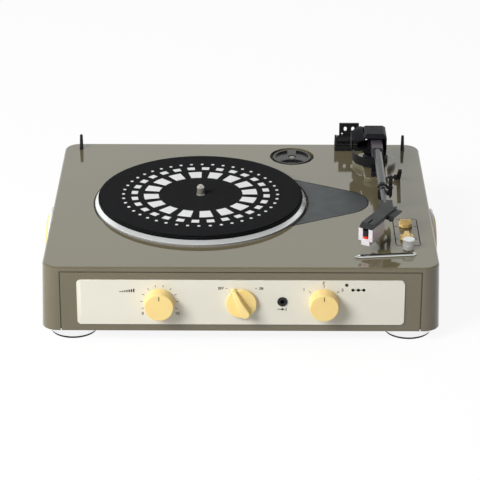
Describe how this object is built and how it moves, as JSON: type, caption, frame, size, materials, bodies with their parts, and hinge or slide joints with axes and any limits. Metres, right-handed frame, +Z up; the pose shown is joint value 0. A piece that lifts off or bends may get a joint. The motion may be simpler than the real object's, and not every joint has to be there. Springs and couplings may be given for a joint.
{
  "type": "portable record player",
  "caption": "Portable record player with a belt-driven platter, pivoting tonearm with lift, front control panel, side speakers and round feet.",
  "frame": {"origin": "on the floor, under the middle of the whole player", "axes": "+X to the player's right, +Y to its back with the front panel facing -Y, +Z up"},
  "size_m": [0.372, 0.308, 0.1137],
  "materials": {
    "olive_shell": "gloss",
    "cream_plate": "satin",
    "knob_yellow": "satin",
    "small_knob": "satin",
    "felt_black": "matt",
    "rubber_black": "matt",
    "platter_metal": "polished rim",
    "chrome": "polished",
    "steel": "satin",
    "hood_grey": "satin",
    "arm_grey": "satin",
    "shell_grey": "satin",
    "inlay_grey": "gloss",
    "guard_pale": "translucent look",
    "stylus_red": "gloss",
    "dark_plastic": "matt",
    "board_green": "matt",
    "ring_white": "satin",
    "grille_yellow": "satin",
    "lamp_dark": "gloss",
    "brass": "satin",
    "board_socket": "matt"
  },
  "bodies": {
    "casing": {"top_casing": "olive_shell", "front_bezel": "olive_shell", "front_plate": "cream_plate", "bottom_cover": "dark_plastic", "casing_screws": "steel", "teardrop_plate": "inlay_grey", "foot_front_left": "chrome", "foot_front_right": "chrome", "foot_rear_left": "chrome", "foot_rear_right": "chrome", "foot_pads": "rubber_black", "volume_pot": "dark_plastic", "power_switch": "dark_plastic", "select_switch": "dark_plastic", "aux_jack": "dark_plastic", "led_lens": "lamp_dark", "left_speaker_ring": "ring_white", "right_speaker_ring": "ring_white", "left_speaker_grille": "grille_yellow", "right_speaker_grille": "grille_yellow", "left_speaker_driver": "dark_plastic", "right_speaker_driver": "dark_plastic", "spindle_bush": "brass", "motor": "steel", "drive_belt": "rubber_black", "arm_base": "olive_shell", "arm_rest": "dark_plastic", "hinge_base": "dark_plastic", "hinge_pin": "dark_plastic", "rear_posts": "dark_plastic", "trim_bar": "chrome", "main_board": "board_green", "rear_sockets": "board_socket"},
    "platter": {"platter": "platter_metal", "rubber_mat": "rubber_black", "slipmat": "felt_black", "spindle": "chrome"},
    "pulley": {"motor_pulley": "brass"},
    "adapter": {"adapter_45": "dark_plastic"},
    "turret": {"arm_turret": "hood_grey", "arm_hood": "hood_grey", "lift_pin": "steel"},
    "tonearm": {"arm_block": "hood_grey", "arm_beam": "arm_grey", "arm_tube": "arm_grey", "headshell": "shell_grey", "cartridge": "dark_plastic", "stylus": "stylus_red"},
    "guard": {"stylus_guard": "guard_pale"},
    "clip": {"rest_clip": "hood_grey"},
    "cue": {"cue_lever": "dark_plastic"},
    "lift": {"lift_platform": "dark_plastic"},
    "cover_hinge": {"hinge_leaf": "dark_plastic"},
    "volume": {"volume_knob": "knob_yellow"},
    "power": {"power_knob": "knob_yellow"},
    "select": {"select_knob": "knob_yellow"},
    "speed": {"speed_knob": "small_knob"},
    "autostop": {"autostop_knob": "small_knob"},
    "pitch": {"pitch_knob": "chrome"}
  },
  "joints": [
    {"name": "platter_spin", "type": "hinge", "parent": "casing", "child": "platter", "pos_m": [-0.0389, 0.00725, 0.0743], "axis": [0, 0, 1], "continuous": true},
    {"name": "pulley_spin", "type": "hinge", "parent": "casing", "child": "pulley", "pos_m": [-0.0983, -0.05215, 0.0663], "axis": [0, 0, 1], "continuous": true},
    {"name": "adapter_lift", "type": "slide", "parent": "casing", "child": "adapter", "axis": [0, 0, 1], "range_m": [0, 0.012]},
    {"name": "arm_swing", "type": "hinge", "parent": "casing", "child": "turret", "pos_m": [0.1325, 0.10025, 0.0793], "axis": [0, 0, -1], "range_deg": [0, 42]},
    {"name": "arm_lift", "type": "hinge", "parent": "turret", "child": "tonearm", "pos_m": [0.1325, 0.10025, 0.1008], "axis": [-1, 0, 0], "range_deg": [0, 7]},
    {"name": "guard_slide", "type": "slide", "parent": "tonearm", "child": "guard", "axis": [-0.4924, -0.8704, 0], "range_m": [0, 0.024]},
    {"name": "clip_turn", "type": "hinge", "parent": "casing", "child": "clip", "pos_m": [0.1401, -0.01975, 0.1019], "axis": [0, 1, 0], "range_deg": [0, 150]},
    {"name": "cue_turn", "type": "hinge", "parent": "casing", "child": "cue", "pos_m": [0.1534, 0.06125, 0.0772], "axis": [-1, 0, 0], "range_deg": [0, 60]},
    {"name": "lift_rise", "type": "slide", "parent": "casing", "child": "lift", "axis": [0, 0, 1], "range_m": [0, 0.004]},
    {"name": "cover_turn", "type": "hinge", "parent": "casing", "child": "cover_hinge", "pos_m": [0.108, 0.14155, 0.0843], "axis": [-1, 0, 0], "range_deg": [0, 65]},
    {"name": "volume_turn", "type": "hinge", "parent": "casing", "child": "volume", "pos_m": [-0.073, -0.14825, 0.0407], "axis": [0, 1, 0], "range_deg": [-120, 120]},
    {"name": "power_turn", "type": "hinge", "parent": "casing", "child": "power", "pos_m": [0.0006, -0.14825, 0.0407], "axis": [0, 1, 0], "range_deg": [0, 56]},
    {"name": "select_turn", "type": "hinge", "parent": "casing", "child": "select", "pos_m": [0.0748, -0.14825, 0.0407], "axis": [0, 1, 0], "range_deg": [-50, 50]},
    {"name": "speed_turn", "type": "hinge", "parent": "casing", "child": "speed", "pos_m": [0.153, -0.04795, 0.0773], "axis": [0, 0, 1], "range_deg": [-45, 45]},
    {"name": "autostop_turn", "type": "hinge", "parent": "casing", "child": "autostop", "pos_m": [0.1524, -0.07695, 0.0773], "axis": [0, 0, 1], "range_deg": [0, 90]},
    {"name": "pitch_turn", "type": "hinge", "parent": "casing", "child": "pitch", "pos_m": [0.1524, -0.09885, 0.0773], "axis": [0, 0, 1], "range_deg": [-150, 150]}
  ],
  "couplings": [
    {"joint": "pulley_spin", "follows": "platter_spin", "ratio": 11.667},
    {"joint": "cue_turn", "follows": "lift_rise", "rad_per_m": 261.7},
    {"joint": "clip_turn", "follows": "arm_lift", "ratio": 21.4}
  ]
}
